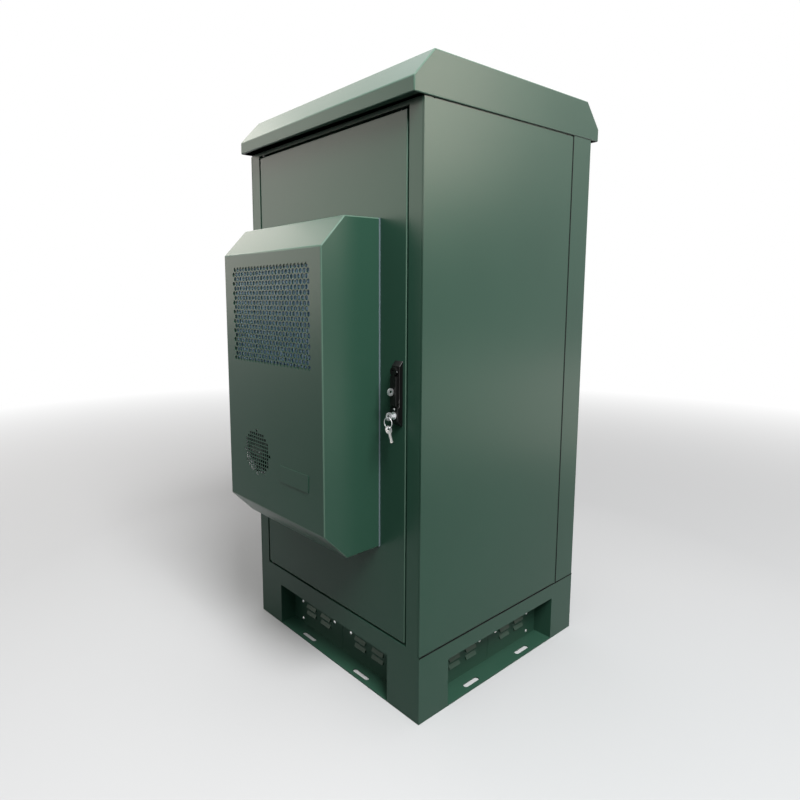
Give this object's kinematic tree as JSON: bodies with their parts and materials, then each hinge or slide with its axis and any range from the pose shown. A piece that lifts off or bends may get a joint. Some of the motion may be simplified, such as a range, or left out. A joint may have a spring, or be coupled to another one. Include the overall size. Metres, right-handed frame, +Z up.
{
  "type": "roadside utility cabinet",
  "caption": "Floor-standing outdoor equipment cabinet with a sloped roof, a hinged door that carries a cooling unit and a rod lock, louvred plinth recesses and rack rails inside.",
  "frame": {"origin": "centre of the square footprint, on the floor", "axes": "+Z up, the door faces -Y and is hinged on the -X side"},
  "size_m": [0.704, 0.917, 1.58],
  "materials": {
    "paint": "semi-gloss dark green powder coat",
    "zinc": "galvanised",
    "black_metal": "satin black",
    "black_plastic": "matt",
    "black_rubber": "matt foam",
    "pale_rubber": "pale blue-grey foam",
    "blue_fins": "blue fin coating",
    "bright_steel": "bright plated"
  },
  "bodies": {
    "cabinet": {"front_frame": "paint", "rear_frame": "paint", "left_side_panel": "paint", "right_side_panel": "paint", "rear_panel": "paint", "roof_cap": "paint", "ceiling_tray": "paint", "left_plinth": "paint", "right_plinth": "paint", "rear_plinth": "paint", "front_vent_panels": "paint", "right_vent_panels": "paint", "rear_vent_panels": "paint", "left_vent_panels": "paint", "floor_plate": "zinc", "gland_plate": "zinc", "front_left_rail": "zinc", "front_right_rail": "zinc", "rear_left_rail": "zinc", "rear_right_rail": "zinc", "left_floor_beam": "zinc", "right_floor_beam": "zinc", "left_ceiling_beam": "zinc", "right_ceiling_beam": "zinc", "top_pivot_pin": "zinc", "bottom_pivot_pin": "zinc"},
    "door": {"door_leaf": "paint", "door_gasket": "black_rubber", "top_hinge_bush": "zinc", "bottom_hinge_bush": "zinc", "handle_base": "black_metal", "lock_case": "zinc", "upper_rod_guide": "zinc", "lower_rod_guide": "zinc", "lock_barrel": "bright_steel", "cooler_gasket": "pale_rubber", "cooler_chassis": "zinc", "cooler_hood": "paint", "intake_grille": "paint", "vent_screen": "paint", "condenser_frame": "zinc", "condenser_coil": "blue_fins", "fan_housing": "zinc", "compressor_tray": "zinc", "compressor": "black_metal", "inner_cover": "zinc", "evaporator_coil": "blue_fins", "blower_motor": "black_plastic"},
    "handle_hub": {"handle_hub": "black_metal"},
    "lever": {"handle_lever": "black_metal", "handle_pin": "bright_steel", "padlock_eye": "bright_steel"},
    "plug": {"lock_plug": "bright_steel", "key": "bright_steel", "key_ring": "bright_steel", "spare_key": "bright_steel"},
    "upper_rod": {"upper_rod": "zinc"},
    "lower_rod": {"lower_rod": "zinc"},
    "condenser_fan": {"condenser_fan": "black_plastic"},
    "blower_wheel": {"blower_wheel": "black_plastic"}
  },
  "joints": [
    {"name": "door_swing", "type": "hinge", "parent": "cabinet", "child": "door", "pos_m": [-0.287, -0.341, 0.8265], "axis": [0, 0, -1], "range_deg": [0, 110]},
    {"name": "handle_turn", "type": "hinge", "parent": "door", "child": "handle_hub", "pos_m": [0.278, -0.3665, 0.876], "axis": [0, -1, 0], "range_deg": [0, 90]},
    {"name": "handle_lift", "type": "hinge", "parent": "handle_hub", "child": "lever", "pos_m": [0.278, -0.3665, 0.876], "axis": [-1, 0, 0], "range_deg": [0, 40]},
    {"name": "key_turn", "type": "hinge", "parent": "door", "child": "plug", "pos_m": [0.278, -0.369, 0.77], "axis": [0, -1, 0], "range_deg": [0, 90]},
    {"name": "upper_rod_slide", "type": "slide", "parent": "door", "child": "upper_rod", "axis": [0, 0, 1], "range_m": [0, 0.01]},
    {"name": "lower_rod_slide", "type": "slide", "parent": "door", "child": "lower_rod", "axis": [0, 0, -1], "range_m": [0, 0.01]},
    {"name": "condenser_fan_spin", "type": "hinge", "parent": "door", "child": "condenser_fan", "pos_m": [-0.072, -0.5145, 0.637], "axis": [0, -1, 0], "continuous": true},
    {"name": "blower_spin", "type": "hinge", "parent": "door", "child": "blower_wheel", "pos_m": [0, -0.294, 1.085], "axis": [0, 1, 0], "continuous": true}
  ],
  "couplings": [
    {"joint": "upper_rod_slide", "follows": "handle_turn", "m_per_rad": 0.0063662},
    {"joint": "lower_rod_slide", "follows": "handle_turn", "m_per_rad": 0.0063662}
  ]
}
